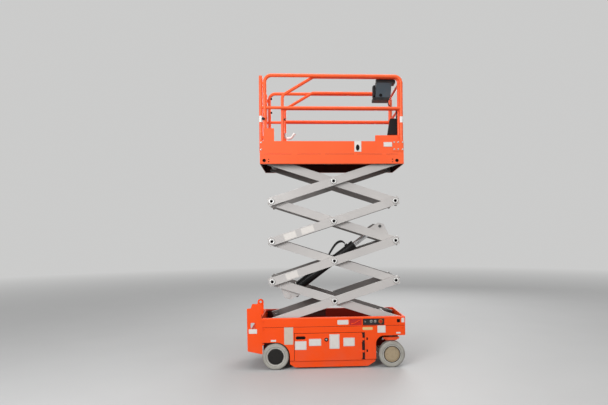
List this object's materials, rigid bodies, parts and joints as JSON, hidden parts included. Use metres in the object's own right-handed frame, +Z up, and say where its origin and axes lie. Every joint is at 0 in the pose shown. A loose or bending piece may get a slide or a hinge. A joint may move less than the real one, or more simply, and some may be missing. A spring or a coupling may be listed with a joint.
{
  "type": "electric scissor lift",
  "caption": "Compact electric slab scissor lift with a raised folding-arm stack, railed platform with sliding extension, entry gate, rear steps and swing-out battery trays.",
  "frame": {"origin": "middle of the footprint on the ground, under the middle of the bounding box", "axes": "+X towards the steered wheels, +Z up, +Y to the far side of the picture"},
  "size_m": [1.84, 0.787, 3.4373],
  "materials": {
    "chassis_paint": "semi-gloss orange paint",
    "platform_paint": "semi-gloss orange paint",
    "knuckle_paint": "semi-gloss red-orange paint",
    "arm_paint": "satin light grey paint",
    "dark_steel": "satin dark paint",
    "tyre": "matt pale grey non-marking rubber",
    "hub_black": "satin black",
    "hub_olive": "satin tan paint",
    "battery_case": "matt black",
    "cylinder_black": "gloss black paint",
    "bright_rod": "polished",
    "panel_black": "matt black",
    "hose_rubber": "matt black rubber",
    "handle_white": "gloss white",
    "box_slate": "matt slate grey",
    "box_black": "matt black"
  },
  "bodies": {
    "chassis": {"chassis_frame": "chassis_paint", "pin_brackets": "dark_steel", "ground_controls": "panel_black", "slide_rails": "dark_steel", "step_sides": "chassis_paint", "step_treads": "chassis_paint", "rear_axle": "dark_steel", "front_axle": "dark_steel", "steering_cylinder": "dark_steel"},
    "near_door": {"near_door": "chassis_paint", "near_batteries": "battery_case"},
    "far_door": {"far_door": "chassis_paint", "far_batteries": "battery_case"},
    "near_guard": {"near_guard": "chassis_paint"},
    "far_guard": {"far_guard": "chassis_paint"},
    "wheel_rear_left": {"tyre_rear_left": "tyre", "hub_rear_left": "hub_black"},
    "wheel_rear_right": {"tyre_rear_right": "tyre", "hub_rear_right": "hub_black"},
    "wheel_front_left": {"tyre_front_left": "tyre", "hub_front_left": "hub_olive"},
    "wheel_front_right": {"tyre_front_right": "tyre", "hub_front_right": "hub_olive"},
    "knuckle_left": {"knuckle_left": "knuckle_paint"},
    "knuckle_right": {"knuckle_right": "knuckle_paint"},
    "steering_rod": {"steering_rod": "bright_rod"},
    "inner_arms_1": {"inner_arms_1": "arm_paint"},
    "outer_arms_1": {"outer_arms_1": "arm_paint", "base_rollers": "dark_steel"},
    "inner_arms_2": {"inner_arms_2": "arm_paint"},
    "outer_arms_2": {"outer_arms_2": "arm_paint"},
    "inner_arms_3": {"inner_arms_3": "arm_paint"},
    "outer_arms_3": {"outer_arms_3": "arm_paint"},
    "inner_arms_4": {"inner_arms_4": "arm_paint", "top_rollers": "dark_steel"},
    "outer_arms_4": {"outer_arms_4": "arm_paint"},
    "lift_barrel": {"lift_barrel": "cylinder_black", "lift_hoses": "hose_rubber"},
    "lift_rod": {"lift_rod": "bright_rod"},
    "platform": {"platform_deck": "platform_paint", "deck_tracks": "dark_steel", "platform_rails": "platform_paint", "entry_frame": "platform_paint"},
    "entry_gate": {"entry_gate": "platform_paint"},
    "extension": {"extension_deck": "platform_paint", "extension_rails": "platform_paint", "extension_handle": "handle_white", "control_box": "box_slate", "document_box": "box_black"}
  },
  "joints": [
    {"name": "lift", "type": "hinge", "parent": "chassis", "child": "inner_arms_1", "pos_m": [0.8265, 0, 0.542], "axis": [0, 1, 0], "range_deg": [-14, 37.9]},
    {"name": "stage_2_outer", "type": "hinge", "parent": "inner_arms_1", "child": "outer_arms_2", "pos_m": [-0.62944, 0, 1.01226], "axis": [0, 1, 0], "range_deg": [-75.8, 28]},
    {"name": "stage_3_inner", "type": "hinge", "parent": "outer_arms_2", "child": "inner_arms_3", "pos_m": [0.8265, 0, 1.48251], "axis": [0, 1, 0], "range_deg": [-28, 75.8]},
    {"name": "stage_4_outer", "type": "hinge", "parent": "inner_arms_3", "child": "outer_arms_4", "pos_m": [-0.62944, 0, 1.95277], "axis": [0, 1, 0], "range_deg": [-75.8, 28]},
    {"name": "platform_level", "type": "hinge", "parent": "outer_arms_4", "child": "platform", "pos_m": [0.8265, 0, 2.42302], "axis": [0, 1, 0], "range_deg": [-14, 37.9]},
    {"name": "stage_1_outer", "type": "hinge", "parent": "inner_arms_1", "child": "outer_arms_1", "pos_m": [0.09853, 0, 0.77713], "axis": [0, 1, 0], "range_deg": [-75.8, 28]},
    {"name": "stage_2_inner", "type": "hinge", "parent": "outer_arms_2", "child": "inner_arms_2", "pos_m": [0.09853, 0, 1.24738], "axis": [0, 1, 0], "range_deg": [-28, 75.8]},
    {"name": "stage_3_outer", "type": "hinge", "parent": "inner_arms_3", "child": "outer_arms_3", "pos_m": [0.09853, 0, 1.71764], "axis": [0, 1, 0], "range_deg": [-75.8, 28]},
    {"name": "stage_4_inner", "type": "hinge", "parent": "outer_arms_4", "child": "inner_arms_4", "pos_m": [0.09853, 0, 2.1879], "axis": [0, 1, 0], "range_deg": [-28, 75.8]},
    {"name": "cylinder_tilt", "type": "hinge", "parent": "inner_arms_1", "child": "lift_barrel", "pos_m": [-0.44604, 0, 0.83501], "axis": [0, 1, 0], "range_deg": [-73.35, 27.22]},
    {"name": "cylinder_stroke", "type": "slide", "parent": "lift_barrel", "child": "lift_rod", "axis": [0.8012, 0, 0.5984], "range_m": [-0.2166, 0.58466]},
    {"name": "steer_left", "type": "hinge", "parent": "chassis", "child": "knuckle_left", "pos_m": [0.76, -0.3, 0.34], "axis": [0, 0, 1], "range_deg": [-60, 60]},
    {"name": "steer_right", "type": "hinge", "parent": "chassis", "child": "knuckle_right", "pos_m": [0.76, 0.3, 0.34], "axis": [0, 0, 1], "range_deg": [-60, 60]},
    {"name": "steer_rod", "type": "slide", "parent": "chassis", "child": "steering_rod", "axis": [0, 1, 0], "range_m": [-0.0895, 0.0895]},
    {"name": "roll_rear_left", "type": "hinge", "parent": "chassis", "child": "wheel_rear_left", "pos_m": [-0.59504, -0.33, 0.1525], "axis": [0, 1, 0], "continuous": true},
    {"name": "roll_rear_right", "type": "hinge", "parent": "chassis", "child": "wheel_rear_right", "pos_m": [-0.59504, 0.33, 0.1525], "axis": [0, 1, 0], "continuous": true},
    {"name": "roll_front_left", "type": "hinge", "parent": "knuckle_left", "child": "wheel_front_left", "pos_m": [0.76, -0.33, 0.1525], "axis": [0, 1, 0], "continuous": true},
    {"name": "roll_front_right", "type": "hinge", "parent": "knuckle_right", "child": "wheel_front_right", "pos_m": [0.76, 0.33, 0.1525], "axis": [0, 1, 0], "continuous": true},
    {"name": "near_door_swing", "type": "hinge", "parent": "chassis", "child": "near_door", "pos_m": [0.426, -0.387, 0.26], "axis": [0, 0, 1], "range_deg": [0, 90]},
    {"name": "far_door_swing", "type": "hinge", "parent": "chassis", "child": "far_door", "pos_m": [0.426, 0.387, 0.26], "axis": [0, 0, -1], "range_deg": [0, 90]},
    {"name": "near_guard_fold", "type": "hinge", "parent": "chassis", "child": "near_guard", "pos_m": [0.067, -0.361, 0.0967], "axis": [1, 0, 0], "range_deg": [0, 90]},
    {"name": "far_guard_fold", "type": "hinge", "parent": "chassis", "child": "far_guard", "pos_m": [0.067, 0.361, 0.0967], "axis": [-1, 0, 0], "range_deg": [0, 90]},
    {"name": "gate_swing", "type": "hinge", "parent": "platform", "child": "entry_gate", "pos_m": [-0.74104, 0.262, 3], "axis": [0, 0, 1], "range_deg": [0, 90]},
    {"name": "extension_slide", "type": "slide", "parent": "platform", "child": "extension", "axis": [1, 0, 0], "range_m": [0, 0.9]}
  ],
  "couplings": [
    {"joint": "stage_2_outer", "follows": "lift", "ratio": -2},
    {"joint": "stage_3_inner", "follows": "lift", "ratio": 2},
    {"joint": "stage_4_outer", "follows": "lift", "ratio": -2},
    {"joint": "platform_level", "follows": "lift", "ratio": 1},
    {"joint": "stage_1_outer", "follows": "lift", "ratio": -2},
    {"joint": "stage_2_inner", "follows": "lift", "ratio": 2},
    {"joint": "stage_3_outer", "follows": "lift", "ratio": -2},
    {"joint": "stage_4_inner", "follows": "lift", "ratio": 2},
    {"joint": "cylinder_tilt", "follows": "lift", "ratio": -1.93},
    {"joint": "cylinder_stroke", "follows": "lift", "m_per_rad": 0.88236},
    {"joint": "steer_right", "follows": "steer_left", "ratio": 1},
    {"joint": "steer_rod", "follows": "steer_left", "m_per_rad": -0.085}
  ]
}
